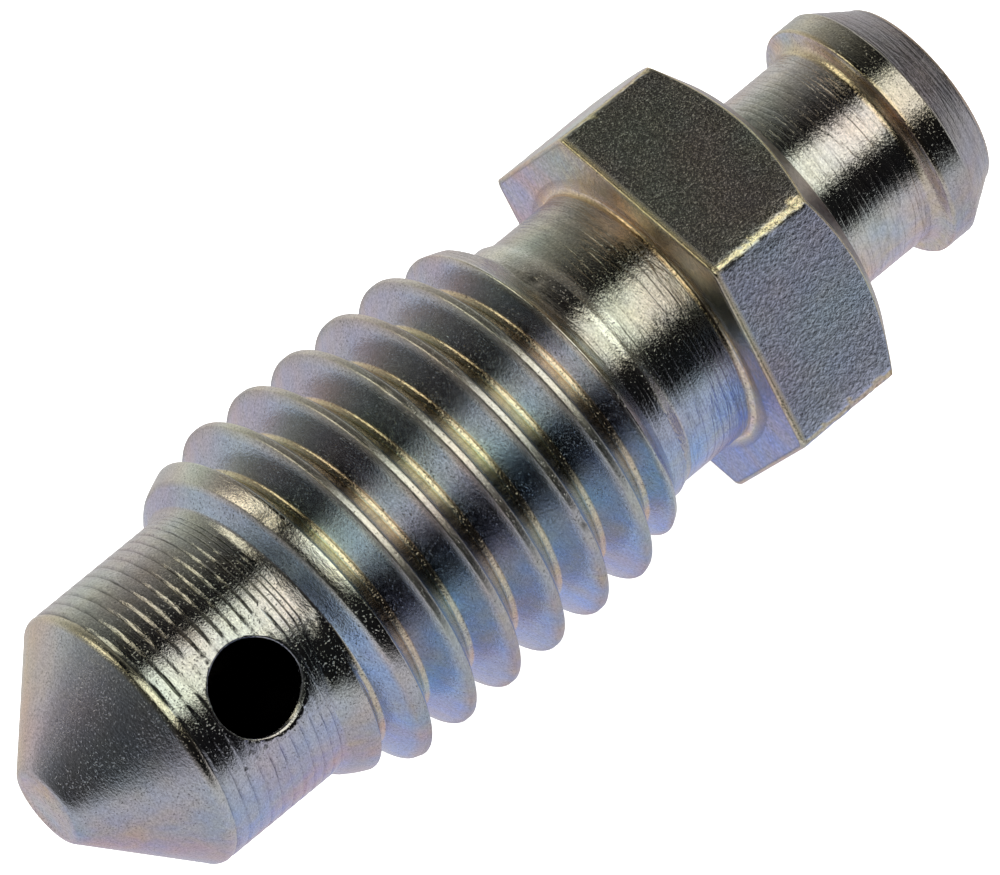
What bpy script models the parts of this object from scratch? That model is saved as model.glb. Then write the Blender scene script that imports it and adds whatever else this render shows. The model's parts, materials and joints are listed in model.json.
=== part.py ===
"""A bleeder screw for a brake caliper, turned from one piece of steel.

Metres, +Z up. The screw lies at rest on a wrench flat and its thread, along X,
with its conical tip towards -X and its hose barb towards +X.
Each piece is modelled upright, its tip at the origin and its barb at the top,
and an empty then lays the screw down.
"""

import math

import bmesh
import bpy
from mathutils import Matrix

MM = 0.001

# Tip: a small flat with a rounded edge, then the sealing cone
TIP_FLAT_DIAMETER = 1.90 * MM
TIP_EDGE_WIDTH = 0.25 * MM
TIP_EDGE_LENGTH = 0.07 * MM
CONE_ANGLE = math.radians(90.0)

# Thread: M10 x 1.5, right-hand, rising from the pilot and fading out at the shank.
# Its depth and its crest's width are the metric thread's shares of the pitch.
THREAD_DIAMETER = 9.90 * MM
THREAD_PITCH = 1.50 * MM
THREAD_DEPTH = 0.6134 * THREAD_PITCH
THREAD_ROOT_DIAMETER = THREAD_DIAMETER - 2 * THREAD_DEPTH
THREAD_CREST_WIDTH = THREAD_PITCH / 8
THREAD_ANGLE = math.radians(60.0)
THREAD_LENGTH = 11.85 * MM
THREAD_LEAD_IN = 2.15 * MM
THREAD_RUN_OUT = 2.40 * MM
THREAD_FIRST_CREST = 0.79 * MM
THREAD_FOOT_GAP = 0.03 * MM
THREAD_SWELL_POWER = 0.55
ROOT_STEP_LENGTH = 0.30 * MM

# Pilot: the plain stretch behind the cone, with the cross hole, a little below the thread's root
PILOT_RELIEF = 0.17 * MM
PILOT_DIAMETER = THREAD_ROOT_DIAMETER - 2 * PILOT_RELIEF
PILOT_LENGTH = 3.72 * MM
PILOT_EDGE = 0.05 * MM
CROSS_HOLE_DIAMETER = 2.50 * MM
CROSS_HOLE_FROM_CONE = 2.27 * MM
CROSS_HOLE_TURN = math.radians(131.4)

# Shank between the thread and the hexagon, also a little below the thread's root
SHANK_RELIEF = 0.20 * MM
SHANK_DIAMETER = THREAD_ROOT_DIAMETER - 2 * SHANK_RELIEF
SHANK_LENGTH = 2.17 * MM
SHANK_FILLET = 0.35 * MM

# Wrench hexagon, chamfered on the barb's side
HEX_ACROSS_FLATS = 9.90 * MM
HEX_LENGTH = 3.93 * MM
HEX_CORNER_RADIUS = 0.35 * MM
HEX_END_DIAMETER = 8.90 * MM
HEX_CHAMFER_ANGLE = math.radians(34.0)

# Neck and hose barb
NECK_DIAMETER = 5.86 * MM
NECK_LENGTH = 3.35 * MM
NECK_HEX_FILLET = 0.20 * MM
NECK_BARB_FILLET = 0.30 * MM
BARB_DIAMETER = 6.96 * MM
BARB_EDGE = 0.06 * MM
BARB_LAND_LENGTH = 0.77 * MM
BARB_TAPER_LENGTH = 1.23 * MM
BARB_END_DIAMETER = 5.36 * MM
BARB_END_EDGE = 0.12 * MM

# Bore: drilled from the barb's end past the cross hole
BORE_DIAMETER = 2.80 * MM
BORE_MOUTH_CHAMFER = 0.15 * MM
BORE_PAST_CROSS_HOLE = 0.40 * MM
DRILL_POINT_ANGLE = math.radians(118.0)

# How far hidden ends reach into the solid that they join, or out of one that they cut
BURY = 0.25 * MM
OVERSHOOT = 1.00 * MM

ROUND_STEPS = 48
HOLE_STEPS = 32

# The facets of round pieces start at these turns, so that no two pieces have edges in line
CORE_START = math.pi / ROUND_STEPS
BLANK_START = math.radians(1.5)
BORE_START = math.radians(2.5)
FILLET_STEPS = 4
CORNER_STEPS = 3

# Stations along the screw, counted from the flat of the tip
CONE_START = TIP_EDGE_LENGTH
TIP_RADIUS = TIP_FLAT_DIAMETER / 2 + TIP_EDGE_WIDTH
CONE_END = CONE_START + (PILOT_DIAMETER / 2 - TIP_RADIUS) / math.tan(CONE_ANGLE / 2)
THREAD_START = CONE_END + PILOT_LENGTH
THREAD_END = THREAD_START + THREAD_LENGTH
HEX_START = THREAD_END + SHANK_LENGTH
HEX_END = HEX_START + HEX_LENGTH
BARB_START = HEX_END + NECK_LENGTH
BARB_LAND_END = BARB_START + BARB_LAND_LENGTH
TOTAL_LENGTH = BARB_LAND_END + BARB_TAPER_LENGTH
CROSS_HOLE_STATION = CONE_END + CROSS_HOLE_FROM_CONE
BORE_END = CROSS_HOLE_STATION - CROSS_HOLE_DIAMETER / 2 - BORE_PAST_CROSS_HOLE

# The radius at which the thread's ridge is out of sight, inside the pilot and the shank
THREAD_HIDDEN_RADIUS = (min(PILOT_DIAMETER, SHANK_DIAMETER) - BURY) / 2

# The axis lies as high as the thread's crest or the wrench flat holds it
AXIS_HEIGHT = max(THREAD_DIAMETER, HEX_ACROSS_FLATS) / 2


def collection_named(name):
    made = bpy.data.collections.new(name)
    bpy.context.scene.collection.children.link(made)
    return made


def add_object(name, mesh, collection, axis):
    """An object for the mesh, carried by the empty that lays the screw down."""
    obj = bpy.data.objects.new(name, mesh)
    collection.objects.link(obj)
    obj.parent = axis
    return obj


def mesh_from(bm, name):
    mesh = bpy.data.meshes.new(name)
    bm.to_mesh(mesh)
    bm.free()
    return mesh


def outline_mesh(name, points, closed=False):
    """A mesh of edges only, through (radius, station) points in the XZ plane."""
    bm = bmesh.new()
    verts = [bm.verts.new((radius, 0.0, station)) for radius, station in points]
    for a, b in zip(verts, verts[1:]):
        bm.edges.new((a, b))
    if closed:
        bm.edges.new((verts[-1], verts[0]))
    return mesh_from(bm, name)


def add_screw(obj, steps, rise=0.0, turns=1):
    screw = obj.modifiers.new("Turn", "SCREW")
    screw.axis = "Z"
    screw.angle = math.tau
    screw.steps = steps
    screw.render_steps = steps
    screw.screw_offset = rise
    screw.iterations = turns
    screw.use_merge_vertices = rise == 0.0
    screw.merge_threshold = 0.000001


def turned(name, points, collection, axis, start, steps=ROUND_STEPS):
    """A solid of revolution. Its points run down the outer side, from the top to the bottom."""
    obj = add_object(name, outline_mesh(name, points), collection, axis)
    obj.rotation_euler.z = start
    add_screw(obj, steps)
    return obj


def baked_mesh(obj, name):
    """The object's mesh with its modifiers applied, in the object's own space."""
    bpy.context.view_layer.update()
    graph = bpy.context.evaluated_depsgraph_get()
    mesh = bpy.data.meshes.new_from_object(obj.evaluated_get(graph))
    mesh.name = name
    return mesh


def arc(centre, radius, start, end, steps):
    """Points (radius, station) on a circular arc, with its angles in degrees."""
    points = []
    for i in range(steps + 1):
        angle = math.radians(start + (end - start) * i / steps)
        points.append((centre[0] + radius * math.cos(angle), centre[1] + radius * math.sin(angle)))
    return points


def corner_fillet(shaft_radius, face_station, fillet, side):
    """An inside corner between a shaft and the face beside it.

    The side is +1 if the face looks up, towards the barb, and -1 if it looks down.
    The points run from the face to the shaft. The first lies a little inside the face's solid.
    """
    centre = (shaft_radius + fillet, face_station + side * fillet)
    points = arc(centre, fillet, -90.0 * side, -180.0 * side, FILLET_STEPS)
    points[0] = (points[0][0], face_station - side * BURY)
    return points


def outer_profile():
    """The whole screw without thread, hexagon and holes, from the barb's end down to the tip."""
    end_radius = BARB_END_DIAMETER / 2
    barb_radius = BARB_DIAMETER / 2
    neck_radius = NECK_DIAMETER / 2
    shank_radius = SHANK_DIAMETER / 2
    root_radius = THREAD_ROOT_DIAMETER / 2
    pilot_radius = PILOT_DIAMETER / 2
    taper = (barb_radius - end_radius) / BARB_TAPER_LENGTH
    points = [
        (0.0, TOTAL_LENGTH),
        (end_radius - BARB_END_EDGE, TOTAL_LENGTH),
        (end_radius + taper * BARB_END_EDGE, TOTAL_LENGTH - BARB_END_EDGE),
        (barb_radius, BARB_LAND_END),
        (barb_radius, BARB_START + BARB_EDGE),
        (barb_radius - BARB_EDGE, BARB_START),
    ]
    shoulder = corner_fillet(neck_radius, BARB_START, NECK_BARB_FILLET, -1)
    shoulder[0] = (shoulder[0][0], BARB_START)
    points += shoulder
    points += reversed(corner_fillet(neck_radius, HEX_END, NECK_HEX_FILLET, 1))
    room = HEX_ACROSS_FLATS / 2 - shank_radius
    points += corner_fillet(shank_radius, HEX_START, min(SHANK_FILLET, room / 2), -1)
    points += [
        (shank_radius, THREAD_END),
        (root_radius, THREAD_END - ROOT_STEP_LENGTH),
        (root_radius, THREAD_START + ROOT_STEP_LENGTH),
        (pilot_radius, THREAD_START),
        (pilot_radius, CONE_END + PILOT_EDGE),
        (pilot_radius - PILOT_EDGE * math.tan(CONE_ANGLE / 2), CONE_END - PILOT_EDGE),
        (TIP_RADIUS, CONE_START),
        (TIP_FLAT_DIAMETER / 2, 0.0),
        (0.0, 0.0),
    ]
    return points


def swell(share):
    """How full the thread is, from 0 to 1, at a share of the way into it."""
    return min(max(share, 0.0), 1.0) ** THREAD_SWELL_POWER


def crest_limit(station):
    """The largest radius that the thread reaches at a station: it rises, stays full and fades."""
    height = THREAD_DIAMETER / 2 - THREAD_HIDDEN_RADIUS
    rising = swell((station - THREAD_START) / THREAD_LEAD_IN)
    fading = swell((THREAD_END - station) / THREAD_RUN_OUT)
    return THREAD_HIDDEN_RADIUS + height * min(rising, fading)


def thread_ridge(collection, axis):
    """The thread's ridge as one closed helical bar, sunk into the screw's core.

    Its flanks run down until the next turn is only a small gap away.
    """
    crest = THREAD_DIAMETER / 2
    half_crest = THREAD_CREST_WIDTH / 2
    half_foot = (THREAD_PITCH - THREAD_FOOT_GAP) / 2
    foot = crest - (half_foot - half_crest) / math.tan(THREAD_ANGLE / 2)
    buried = THREAD_HIDDEN_RADIUS - BURY
    centre = THREAD_START + THREAD_FIRST_CREST - THREAD_PITCH
    section = [
        (buried, centre - half_foot),
        (buried, centre + half_foot),
        (foot, centre + half_foot),
        (crest, centre + half_crest),
        (crest, centre - half_crest),
        (foot, centre - half_foot),
    ]
    turns = math.ceil(THREAD_LENGTH / THREAD_PITCH) + 2
    bar = add_object("thread_bar", outline_mesh("thread_bar", section, True), collection, axis)
    add_screw(bar, ROUND_STEPS, THREAD_PITCH, turns)
    bm = bmesh.new()
    bm.from_mesh(baked_mesh(bar, "thread_ridge"))
    bpy.data.objects.remove(bar)
    bmesh.ops.holes_fill(bm, edges=[edge for edge in bm.edges if edge.is_boundary])
    for vert in bm.verts:
        radius = math.hypot(vert.co.x, vert.co.y)
        kept = min(radius, crest_limit(vert.co.z)) / radius
        vert.co.x *= kept
        vert.co.y *= kept
    bmesh.ops.recalc_face_normals(bm, faces=bm.faces)
    return add_object("thread_ridge", mesh_from(bm, "thread_ridge"), collection, axis)


def hexagon(collection, axis):
    """The wrench hexagon with rounded corners, its barb-side corners cut by a turned chamfer.

    It keeps a cone primitive's first corner, on +Y, so two flats face down and up once it lies.
    """
    length = HEX_LENGTH + OVERSHOOT
    bm = bmesh.new()
    corner_radius = HEX_ACROSS_FLATS / 2 / math.cos(math.pi / 6)
    bmesh.ops.create_cone(
        bm, cap_ends=True, segments=6, radius1=corner_radius, radius2=corner_radius, depth=length
    )
    bmesh.ops.translate(bm, verts=bm.verts, vec=(0, 0, HEX_START + length / 2))
    upright = [e for e in bm.edges if abs(e.verts[0].co.z - e.verts[1].co.z) > length / 2]
    bmesh.ops.bevel(
        bm,
        geom=upright,
        offset=HEX_CORNER_RADIUS * math.tan(math.pi / 6),
        offset_type="OFFSET",
        segments=CORNER_STEPS,
        profile=0.5,
        affect="EDGES",
    )
    head = add_object("hexagon", mesh_from(bm, "hexagon"), collection, axis)
    end_radius = HEX_END_DIAMETER / 2
    outside = corner_radius + OVERSHOOT
    chamfer_drop = (outside - end_radius) * math.tan(HEX_CHAMFER_ANGLE)
    blank = turned(
        "hexagon_blank",
        [
            (0.0, HEX_END),
            (end_radius, HEX_END),
            (outside, HEX_END - chamfer_drop),
            (outside, HEX_START - OVERSHOOT),
            (0.0, HEX_START - OVERSHOOT),
        ],
        collection,
        axis,
        BLANK_START,
    )
    add_boolean(head, blank, "INTERSECT")
    return head


def bore_cutter(collection, axis):
    """The drilled bore, with its mouth's chamfer and the drill's point."""
    radius = BORE_DIAMETER / 2
    mouth = radius + BORE_MOUTH_CHAMFER
    point = radius / math.tan(DRILL_POINT_ANGLE / 2)
    points = [
        (0.0, TOTAL_LENGTH + OVERSHOOT),
        (mouth, TOTAL_LENGTH + OVERSHOOT),
        (mouth, TOTAL_LENGTH),
        (radius, TOTAL_LENGTH - BORE_MOUTH_CHAMFER),
        (radius, BORE_END),
        (0.0, BORE_END - point),
    ]
    return turned("bore", points, collection, axis, BORE_START, HOLE_STEPS)


def cross_hole_cutter(collection, axis):
    """The hole through one side of the pilot, drilled across into the bore."""
    length = PILOT_DIAMETER / 2 + OVERSHOOT
    bm = bmesh.new()
    bmesh.ops.create_cone(
        bm,
        cap_ends=True,
        segments=HOLE_STEPS,
        radius1=CROSS_HOLE_DIAMETER / 2,
        radius2=CROSS_HOLE_DIAMETER / 2,
        depth=length,
    )
    bmesh.ops.translate(bm, verts=bm.verts, vec=(0, 0, length / 2))
    # The turn is counted about the axis from +Y; the upright screw's +Y stays +Y once it lies
    lean = Matrix.Rotation(-math.pi / 2, 3, "X")
    aim = Matrix.Rotation(CROSS_HOLE_TURN, 3, "Z")
    bmesh.ops.rotate(bm, verts=bm.verts, cent=(0, 0, 0), matrix=aim @ lean)
    bmesh.ops.translate(bm, verts=bm.verts, vec=(0, 0, CROSS_HOLE_STATION))
    return add_object("cross_hole", mesh_from(bm, "cross_hole"), collection, axis)


def add_boolean(obj, other, operation):
    boolean = obj.modifiers.new(other.name, "BOOLEAN")
    boolean.operation = operation
    boolean.solver = "EXACT"
    boolean.object = other


def plated_steel():
    material = bpy.data.materials.new("plated_steel")
    material.use_nodes = True
    shader = material.node_tree.nodes["Principled BSDF"]
    shader.inputs["Base Color"].default_value = (0.60, 0.59, 0.63, 1.0)
    shader.inputs["Metallic"].default_value = 1.0
    shader.inputs["Roughness"].default_value = 0.28
    return material


def build():
    for obj in list(bpy.data.objects):
        bpy.data.objects.remove(obj)
    parts = collection_named("bleeder_screw_parts")
    cutters = collection_named("cutters")

    axis = bpy.data.objects.new("screw_axis", None)
    parts.objects.link(axis)
    axis.location = (-TOTAL_LENGTH / 2, 0.0, AXIS_HEIGHT)
    axis.rotation_euler = (0.0, math.pi / 2, 0.0)

    core = turned("screw_core", outer_profile(), cutters, axis, CORE_START)
    add_boolean(core, thread_ridge(cutters, axis), "UNION")
    add_boolean(core, hexagon(cutters, axis), "UNION")
    add_boolean(core, bore_cutter(cutters, axis), "DIFFERENCE")
    add_boolean(core, cross_hole_cutter(cutters, axis), "DIFFERENCE")
    for helper in cutters.objects:
        helper.hide_render = True
        helper.display_type = "WIRE"

    mesh = baked_mesh(core, "bleeder_screw")
    mesh.materials.append(plated_steel())
    mesh.shade_smooth()
    mesh.set_sharp_from_angle(angle=math.radians(30.0))
    screw = add_object("bleeder_screw", mesh, parts, axis)
    screw.rotation_euler.z = CORE_START


build()
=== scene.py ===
"""A plated bleeder screw lying on a pale studio floor.

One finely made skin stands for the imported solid. It is worked out in millimetres, on three measures:
a station along the axis counted from the tip's flat, a radius, and a turn about the axis counted from
+Y towards +Z. The mesh itself is in metres.
"""

import json
import math

import bmesh
import bpy
import numpy as np
from mathutils import Matrix, Vector, noise

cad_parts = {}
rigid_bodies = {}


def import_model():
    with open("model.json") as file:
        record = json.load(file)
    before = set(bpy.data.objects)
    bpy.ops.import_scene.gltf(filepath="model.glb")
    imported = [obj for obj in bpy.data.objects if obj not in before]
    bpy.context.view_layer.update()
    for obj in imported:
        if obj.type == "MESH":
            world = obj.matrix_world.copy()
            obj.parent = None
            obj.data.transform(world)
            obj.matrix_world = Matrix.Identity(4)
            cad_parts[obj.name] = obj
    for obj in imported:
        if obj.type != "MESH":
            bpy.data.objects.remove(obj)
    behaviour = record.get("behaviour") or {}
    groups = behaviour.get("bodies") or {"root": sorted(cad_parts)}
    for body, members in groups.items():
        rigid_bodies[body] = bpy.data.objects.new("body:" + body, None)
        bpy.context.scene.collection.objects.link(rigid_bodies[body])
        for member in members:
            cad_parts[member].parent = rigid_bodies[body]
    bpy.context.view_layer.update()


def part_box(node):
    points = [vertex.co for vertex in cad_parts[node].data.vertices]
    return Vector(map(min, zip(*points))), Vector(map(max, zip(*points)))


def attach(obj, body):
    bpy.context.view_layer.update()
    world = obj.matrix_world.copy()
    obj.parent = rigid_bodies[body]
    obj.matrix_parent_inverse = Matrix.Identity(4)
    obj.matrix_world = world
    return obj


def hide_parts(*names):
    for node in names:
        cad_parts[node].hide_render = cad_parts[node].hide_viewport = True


MM = 0.001
NODE = "bleeder_screw"

# Tip and cone
TIP_FLAT = 0.95
TIP_EDGE = 1.20
TIP_EDGE_LENGTH = 0.07
TIP_DISH = 0.05
CONE_ROWS = 22
CONE_MARGIN = 0.06
LIP_START = 2.66
LIP_LENGTH = 0.28
LIP_BULGE = 0.035
LIP_SLUMP = 0.06

# Pilot, with a narrow groove for each pass of the turning tool, closer together towards the thread
PILOT_RADIUS = 3.86
PILOT_START = 2.94
PILOT_END = 6.505
FIRST_RIB = 0.376
SHORTEST_RIB = 0.15
RIBS = 14
RIB_CROWN = 0.006
GROOVE_DEPTH = 0.042
GROOVE_WANDER = 0.018
RIB_RISE = 0.21
RIB_FALL = 0.09
GROOVE_UNEVENNESS = 0.9
UNEVEN_ALONG = 1.5
UNEVEN_ROUND = 11.0
WANDER_SEED = 30.0
DEPTH_SEED = 50.0
RIB_ROWS = (0.0, 0.11, 0.21, 0.34, 0.62, 0.91)
RUN_IN_ROWS = (0.0, 0.21, 0.62, 0.91)
RUN_IN_END = 7.10
RUN_IN_RISE = 0.30

# Cross hole and bore
CROSS_HOLE_RADIUS = 1.25
CROSS_HOLE_STATION = 5.04
CROSS_HOLE_TURN = math.radians(132.7)
CROSS_HOLE_EDGE = 0.06
HOLE_DEBURRING = 0.16
DEBURRED_SIDE = math.radians(60.0)
HOLE_RAGGEDNESS = 0.04
HOLE_EDGE_RINGS = 8
HOLE_RIPPLE = 0.035
HOLE_WALL_ROWS = 14
HOLE_WALL_RELIEF = 0.030
WINDOW_RINGS = 12
WINDOW_GROOVE_FADE = 0.25
WINDOW_REACH = math.radians(23.5)
WINDOW_START = 3.56
BORE_RADIUS = 1.40
BORE_END = 3.35
BORE_WINDOW = (3.56, 6.45)
BORE_COLUMNS = 64
BORE_WINDOW_COLUMNS = 28
BORE_RINGS = (9.0, 14.0, 19.0, 24.0)
BORE_MOUTH = 1.55
BORE_MOUTH_CHAMFER = 0.15
DRILL_POINT_ANGLE = math.radians(118.0)

# Thread
THREAD_RADIUS = 4.95
THREAD_PITCH = 1.50
THREAD_START = 6.45
THREAD_END = 18.30
THREAD_LEAD_IN = 2.15
THREAD_RUN_OUT = 2.40
THREAD_SWELL_POWER = 0.55
THREAD_MARGIN = 0.02
WIDEST_HALF_TOP = 0.52
FIRST_RIDGE = (6.62, 7.06)
RUN_IN_STEP = (7.04, 7.20)
LAST_RIDGE = (17.60, 17.95)
LAST_BACK = 16.78
LAST_BACK_GROWTH = 0.2
BACK_START = -0.17
BACK_SLOPE = 1.1
HIDDEN_RADIUS = 3.705
FIRST_CREST = 6.115
HALF_CREST = 0.094
FLANK_SLOPE = math.sqrt(3.0)
ROOT_APEX = 3.814
ROOT_ARC = 0.14
ROOT_REACH = ROOT_ARC * math.cos(math.pi / 6)
ROOT_RADIUS = ROOT_APEX + ROOT_ARC
ROOT_STEP = 0.30
CREST_ROUNDING = 0.070
ROOT_ROUNDING = 0.04
THREAD_TURNS = 9
SHANK_ZIP = 18.36

# Shank and wrench hexagon
SHANK_RADIUS = 3.83
SHANK_FILLET = 0.13
HEX_START = 20.47
HEX_END = 24.40
HEX_FLAT = 4.95
HEX_WEAR_TURN = math.radians(12.0)
HEX_WEAR_DEPTH = 0.048
HEX_WEAR_ROUNDING = 0.025
EDGE_WEAR_DEPTH = 0.055
HEX_EDGE = 0.08
HEX_ROWS = 26
HEX_END_RADIUS = 4.45
CHAMFER_RISE = 1.0 / math.tan(math.radians(34.0))

# Neck and barb
NECK_RADIUS = 2.93
NECK_HEX_FILLET = 0.20
NECK_BARB_FILLET = 0.30
BARB_START = 27.75
BARB_RADIUS = 3.48
BARB_EDGE = 0.06
BARB_LAND_END = 28.52
BARB_END_RADIUS = 2.68
BARB_END_EDGE = 0.12
TOTAL_LENGTH = 29.75

# The plating's texture, in points to the metre, and its relief, in metres
GRAIN_SCALE = 12000.0
SPECK_SCALE = 20000.0
SWARM_SCALE = 1300.0
LINE_SCALE = 1500.0
SCORE_SCALE = 420.0
TURNED_GRAIN = 0.000009
MILLED_GRAIN = 0.000022
PIT_DEPTH = 0.000009
SCORED_PIT_DEPTH = 0.000003
PLAIN_LINES = 0.000001
SCORED_LINES = 0.000014
SCORE_DEPTH = 0.000007
SHARP_ANGLE = math.radians(32.0)

# How dull each kind of surface is, and how much darker its marks are
TURNED_ROUGHNESS = 0.10
MILLED_ROUGHNESS = 0.24
WORN_ROUGHNESS = 0.05
CREST_WEAR = 3.5
GRAIN_CONTRAST = 1.3
DARKEST_GRAIN = 0.35
PIT_SHADE = 0.45
SCORED_PIT_SHADE = 0.12
SCORE_SHADE = 0.20

# Small dents: station, turn in degrees, width and depth
NICKS = (
    (7.82, 91.2, 0.20, 0.03),
    (12.36, 84.7, 0.16, 0.07),
    (14.30, 153.4, 0.18, 0.06),
    (17.63, 79.8, 0.14, 0.05),
    (23.30, 119.0, 0.16, 0.05),
    (28.47, 176.3, 0.16, 0.06),
)

# The camera, from a fit to the photograph's outline
VIEW_TARGET = (0.422, -0.065, 5.029)
VIEW_DISTANCE = 423.82
VIEW_AZIMUTH = math.radians(-125.956)
VIEW_ELEVATION = math.radians(57.144)
VIEW_ROLL = math.radians(-7.967)
VIEW_LENS = 608.08
SENSOR_WIDTH = 36.0

# Columns of points round the axis, in degrees from each corner of the hexagon
CORNER_COLUMNS = (0.0, 0.8, 1.6, 2.4, 3.4)
FLAT_COLUMNS = 13


def column_turns():
    """The turn of each column of the skin: close together at the hexagon's corners."""
    half = list(CORNER_COLUMNS) + list(np.linspace(5.2, 30.0, FLAT_COLUMNS))
    sector = half + [60.0 - turn for turn in reversed(half[1:-1])]
    return np.radians([60.0 * side + turn for side in range(6) for turn in sector])


TURNS = column_turns()
COLUMNS = len(TURNS)


def cells_of(numbers):
    """The four corners of each cell of a grid of points."""
    corners = (numbers[:-1, :-1], numbers[:-1, 1:], numbers[1:, 1:], numbers[1:, :-1])
    return np.stack(corners, axis=-1)


class Skin:
    """The points and faces of one closed surface."""

    def __init__(self):
        self.parts = []
        self.count = 0
        self.quads = []
        self.triangles = []
        self.last = None

    def add(self, station, radius, turn, zone):
        """Adds points, and gives back their numbers in the same layout."""
        station, radius, turn = np.broadcast_arrays(station, radius, turn)
        numbers = np.arange(self.count, self.count + station.size).reshape(station.shape)
        self.count += station.size
        self.parts.append((station.ravel(), radius.ravel(), turn.ravel(), np.full(station.size, zone)))
        return numbers

    def ring(self, station, radius, zone):
        """Adds a ring of points, joined to the ring before it."""
        numbers = self.add(station, radius, TURNS, zone)
        if self.last is not None:
            self.join(self.last, numbers)
        self.last = numbers
        return numbers

    def join(self, first, second):
        """Faces between two rings of equally many points."""
        self.quads.append(np.stack([first, np.roll(first, -1), np.roll(second, -1), second], axis=-1))

    def grid(self, numbers, skip=None):
        """Faces of a grid of points, without the cells that skip marks."""
        cells = cells_of(numbers)
        if skip is not None:
            cells = cells[~skip]
        self.quads.append(cells.reshape(-1, 4))

    def fan(self, centre, ring):
        """Triangles from a point to a ring round it."""
        after = np.roll(ring, -1)
        self.triangles.append(np.stack([np.full(ring.size, centre), ring, after], axis=-1))

    def zip(self, first, second):
        """Triangles between two open rows of points that start and end side by side."""
        i, j = 0, 0
        while i < len(first) - 1 or j < len(second) - 1:
            along_first = (i + 1) / max(1, len(first) - 1)
            along_second = (j + 1) / max(1, len(second) - 1)
            if j == len(second) - 1 or (i < len(first) - 1 and along_first <= along_second):
                self.triangles.append(np.array([[first[i], first[i + 1], second[j]]]))
                i += 1
            else:
                self.triangles.append(np.array([[first[i], second[j + 1], second[j]]]))
                j += 1


def soft_min(a, b, blend):
    """The smaller of two numbers, with their crossing rounded off."""
    near = np.maximum(blend - np.abs(a - b), 0.0)
    return np.minimum(a, b) - near * near / (4.0 * blend)


def soft_max(a, b, blend):
    """The larger of two numbers, with their crossing rounded off."""
    return -soft_min(-a, -b, blend)


def arc(centre, radius, start, end, steps):
    """Points (station, radius) on a circular arc. Its angles are in degrees from the axis."""
    angles = np.radians(np.linspace(start, end, steps + 1))
    return [(centre[0] + radius * math.cos(a), centre[1] + radius * math.sin(a)) for a in angles]


def wander(size, amount, seed):
    """A slow drift round the axis, the same at both ends of the turn."""
    rings = [noise.noise(Vector((math.cos(t) / size, math.sin(t) / size, seed))) for t in TURNS]
    return amount * np.array(rings)


def tip_and_cone(skin):
    """The dished tip, its worn edge and the sealing cone."""
    centre = skin.add(TIP_DISH, 0.0, 0.0, "tip")[()]
    first = skin.ring(TIP_DISH, 0.25, "tip")
    skin.fan(centre, first)
    for share, depth in ((0.60, 1.0), (0.86, 0.9), (0.95, 0.35)):
        skin.ring(TIP_DISH * depth, TIP_FLAT * share, "tip")
    skin.ring(0.0, TIP_FLAT, "tip")
    skin.ring(TIP_EDGE_LENGTH * 0.18, TIP_FLAT + 0.10, "tip")
    skin.ring(TIP_EDGE_LENGTH * 0.55, TIP_FLAT + 0.19, "cone")
    widest = TIP_EDGE + LIP_START - TIP_EDGE_LENGTH - CONE_MARGIN
    for radius in np.linspace(TIP_EDGE, widest, CONE_ROWS):
        skin.ring(TIP_EDGE_LENGTH + radius - TIP_EDGE + 0.01, radius, "cone")


def lip(skin):
    """The small rolled edge between the cone and the pilot."""
    for share in (0.12, 0.3, 0.5, 0.7, 0.88):
        lift = LIP_BULGE * math.sin(math.pi * share) - LIP_SLUMP * (1.0 - share) ** 2
        skin.ring(LIP_START + LIP_LENGTH * share, PILOT_RADIUS - GROOVE_DEPTH * share + lift, "lip")


def groove_stations():
    """Where each groove lies. The ribs between them get shorter towards the thread."""
    lengths = [max(FIRST_RIB * (1.0 - (rib / RIBS) ** 3), SHORTEST_RIB) for rib in range(RIBS)]
    return PILOT_START + np.concatenate([[0.0], np.cumsum(lengths)])


GROOVES = groove_stations()


def ribbed_stations(shares, low, high):
    """Stations at the same shares of each rib, between two limits."""
    stations = (GROOVES[:-1, None] + np.diff(GROOVES)[:, None] * np.array(shares)).ravel()
    return stations[(stations >= low) & (stations <= high)]


def rib_radius(station, unevenness=0.0):
    """The pilot's radius: ribs that rise slowly out of each groove and drop quickly into the next."""
    rib = np.clip(np.searchsorted(GROOVES, station, side="right") - 1, 0, RIBS - 1)
    along = (station - GROOVES[rib]) / (GROOVES[rib + 1] - GROOVES[rib])
    groove = np.clip(np.maximum(1.0 - along / RIB_RISE, 1.0 - (1.0 - along) / RIB_FALL), 0.0, 1.0)
    crown = RIB_CROWN * (2.0 * along - 1.0) ** 2
    return PILOT_RADIUS - crown - GROOVE_DEPTH * (1.0 + GROOVE_UNEVENNESS * unevenness) * groove


def uneven(station, turn, seed):
    """Small irregularities of the pilot's grooves, from about -1 to 1."""
    station, turn = np.broadcast_arrays(station, turn)
    along = UNEVEN_ALONG * station + seed
    across = UNEVEN_ROUND * np.cos(turn)
    height = UNEVEN_ROUND * np.sin(turn)
    spots = np.stack([along, across, height], axis=-1).reshape(-1, 3)
    return np.array([noise.noise(Vector(spot)) for spot in spots]).reshape(station.shape)


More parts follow.
